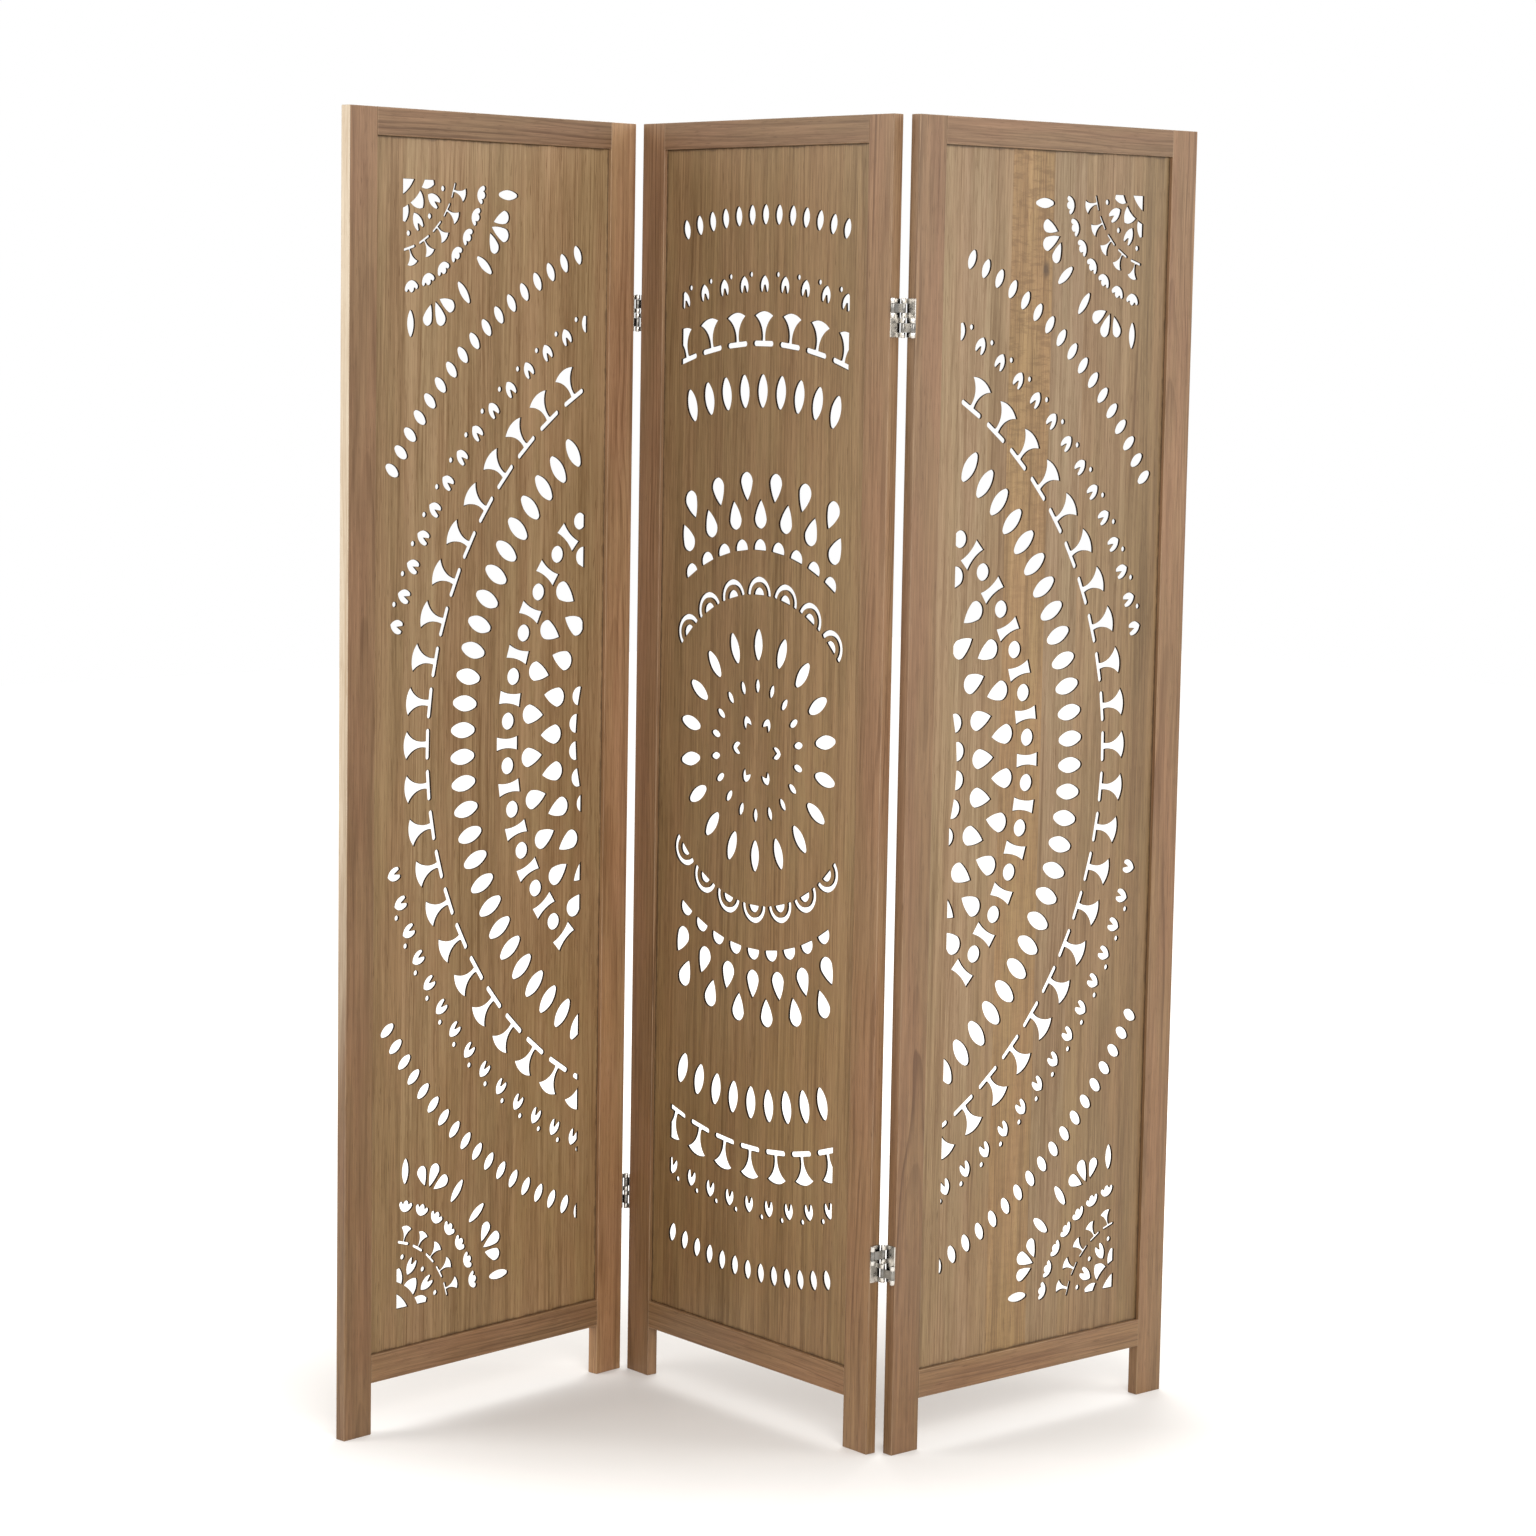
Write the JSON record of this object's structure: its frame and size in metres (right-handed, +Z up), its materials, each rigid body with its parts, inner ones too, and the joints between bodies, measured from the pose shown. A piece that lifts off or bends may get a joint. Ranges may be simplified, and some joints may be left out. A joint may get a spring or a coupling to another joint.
{
  "type": "folding screen",
  "caption": "Folding wooden screen: framed panels round thin boards that are cut through in rings of a rosette pattern, joined by double-action hinges.",
  "frame": {"origin": "middle of the folded screen's footprint, on the floor", "axes": "+Z up, X along the middle panel, -Y the way that the middle panel's front faces"},
  "size_m": [0.5538, 1.0284, 1.7],
  "materials": {
    "frame_wood": "satin stained paulownia",
    "board_wood": "satin stained veneer",
    "dowel_beech": "raw beech",
    "hinge_nickel": "nickel plated steel"
  },
  "bodies": {
    "middle_panel": {"left_lower_hinge_middle_leaf": "hinge_nickel", "left_lower_hinge_middle_pins": "hinge_nickel", "left_lower_hinge_middle_screws": "hinge_nickel", "left_lower_hinge_upper_link": "hinge_nickel", "left_upper_hinge_middle_leaf": "hinge_nickel", "left_upper_hinge_middle_pins": "hinge_nickel", "left_upper_hinge_middle_screws": "hinge_nickel", "left_upper_hinge_upper_link": "hinge_nickel", "middle_bottom_rail": "frame_wood", "middle_carved_board": "board_wood", "middle_dowels": "dowel_beech", "middle_left_stile": "frame_wood", "middle_right_stile": "frame_wood", "middle_top_rail": "frame_wood", "right_lower_hinge_middle_leaf": "hinge_nickel", "right_lower_hinge_middle_pins": "hinge_nickel", "right_lower_hinge_middle_screws": "hinge_nickel", "right_lower_hinge_upper_link": "hinge_nickel", "right_upper_hinge_middle_leaf": "hinge_nickel", "right_upper_hinge_middle_pins": "hinge_nickel", "right_upper_hinge_middle_screws": "hinge_nickel", "right_upper_hinge_upper_link": "hinge_nickel"},
    "left_panel": {"left_bottom_rail": "frame_wood", "left_carved_board": "board_wood", "left_dowels": "dowel_beech", "left_inner_stile": "frame_wood", "left_lower_hinge_lower_link": "hinge_nickel", "left_lower_hinge_side_leaf": "hinge_nickel", "left_lower_hinge_side_pins": "hinge_nickel", "left_lower_hinge_side_screws": "hinge_nickel", "left_outer_stile": "frame_wood", "left_top_rail": "frame_wood", "left_upper_hinge_lower_link": "hinge_nickel", "left_upper_hinge_side_leaf": "hinge_nickel", "left_upper_hinge_side_pins": "hinge_nickel", "left_upper_hinge_side_screws": "hinge_nickel"},
    "right_panel": {"right_bottom_rail": "frame_wood", "right_carved_board": "board_wood", "right_dowels": "dowel_beech", "right_inner_stile": "frame_wood", "right_lower_hinge_lower_link": "hinge_nickel", "right_lower_hinge_side_leaf": "hinge_nickel", "right_lower_hinge_side_pins": "hinge_nickel", "right_lower_hinge_side_screws": "hinge_nickel", "right_outer_stile": "frame_wood", "right_top_rail": "frame_wood", "right_upper_hinge_lower_link": "hinge_nickel", "right_upper_hinge_side_leaf": "hinge_nickel", "right_upper_hinge_side_pins": "hinge_nickel", "right_upper_hinge_side_screws": "hinge_nickel"}
  },
  "joints": [
    {"name": "left_fold", "type": "hinge", "parent": "middle_panel", "child": "left_panel", "pos_m": [-0.25607, -0.01001, 0], "axis": [0, 0, 1], "range_deg": [-97, 83]},
    {"name": "right_fold", "type": "hinge", "parent": "middle_panel", "child": "right_panel", "pos_m": [0.25593, 0.00799, 0], "axis": [0, 0, 1], "range_deg": [-91, 89]}
  ]
}
